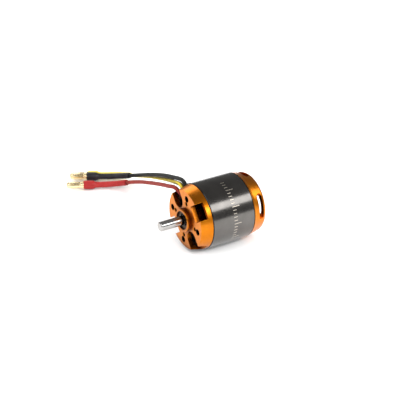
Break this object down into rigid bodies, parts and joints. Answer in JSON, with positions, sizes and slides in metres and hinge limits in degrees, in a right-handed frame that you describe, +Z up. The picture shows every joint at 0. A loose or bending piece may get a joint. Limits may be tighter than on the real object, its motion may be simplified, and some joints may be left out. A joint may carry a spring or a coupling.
{
  "type": "brushless outrunner motor",
  "caption": "Brushless outrunner motor with an orange cut-out front mount, a steel rotor with a windowed orange cap, an output shaft, and leads that end in sleeved bullet plugs.",
  "frame": {"origin": "centre of the mounting face, on the shaft's axis", "axes": "+Y runs along the shaft's axis from the mounting face to the rotor's closed end, so the output shaft points along -Y; +Z is up as the motor lies on its side; the leads run off towards -X"},
  "size_m": [0.1239, 0.0639, 0.0352],
  "materials": {
    "orange_anodised": "orange anodised, satin",
    "rotor_steel": "dark plated, turned, satin gloss",
    "shaft_steel": "ground and polished",
    "bearing_steel": "ground",
    "bearing_shield": "pressed, satin",
    "magnet": "nickel plated",
    "lamination": "stacked sheets, varnished",
    "insulator": "moulded, matt",
    "copper": "enamelled copper wire",
    "tape": "wrapped insulating tape",
    "silicone_black": "soft matt silicone",
    "silicone_red": "soft matt silicone",
    "silicone_yellow": "soft matt silicone",
    "shrink_black": "heat-shrink, satin",
    "shrink_red": "heat-shrink, satin",
    "shrink_yellow": "heat-shrink, satin",
    "gold": "gold plated",
    "black_oxide": "black oxide"
  },
  "bodies": {
    "stator": {"front_mount": "orange_anodised", "front_bearing_outer_race": "bearing_steel", "front_bearing_shields": "bearing_shield", "rear_bearing_outer_race": "bearing_steel", "rear_bearing_shields": "bearing_shield", "stator_core": "lamination", "stator_insulator_front": "insulator", "stator_insulator_rear": "insulator", "winding_phase_a": "copper", "winding_phase_b": "copper", "winding_phase_c": "copper", "lead_joints": "tape", "lead_black": "silicone_black", "sleeve_black": "shrink_black", "connector_black": "gold", "lead_red": "silicone_red", "sleeve_red": "shrink_red", "connector_red": "gold", "lead_yellow": "silicone_yellow", "sleeve_yellow": "shrink_yellow", "connector_yellow": "gold"},
    "rotor": {"shaft": "shaft_steel", "flux_ring": "rotor_steel", "magnets": "magnet", "rear_cap": "orange_anodised", "grub_screws": "black_oxide", "retaining_ring": "black_oxide", "rear_spacer": "shaft_steel", "front_bearing_inner_race": "bearing_steel", "rear_bearing_inner_race": "bearing_steel"},
    "front_cage": {"front_bearing_balls": "bearing_steel", "front_bearing_cage": "bearing_shield"},
    "rear_cage": {"rear_bearing_balls": "bearing_steel", "rear_bearing_cage": "bearing_shield"}
  },
  "joints": [
    {"name": "rotor_spin", "type": "hinge", "parent": "stator", "child": "rotor", "pos_m": [0, 0, 0], "axis": [0, 1, 0], "continuous": true},
    {"name": "front_cage_orbit", "type": "hinge", "parent": "stator", "child": "front_cage", "pos_m": [0, 0, 0], "axis": [0, 1, 0], "continuous": true},
    {"name": "rear_cage_orbit", "type": "hinge", "parent": "stator", "child": "rear_cage", "pos_m": [0, 0, 0], "axis": [0, 1, 0], "continuous": true}
  ],
  "couplings": [
    {"joint": "front_cage_orbit", "follows": "rotor_spin", "ratio": 0.41333},
    {"joint": "rear_cage_orbit", "follows": "rotor_spin", "ratio": 0.41333}
  ]
}
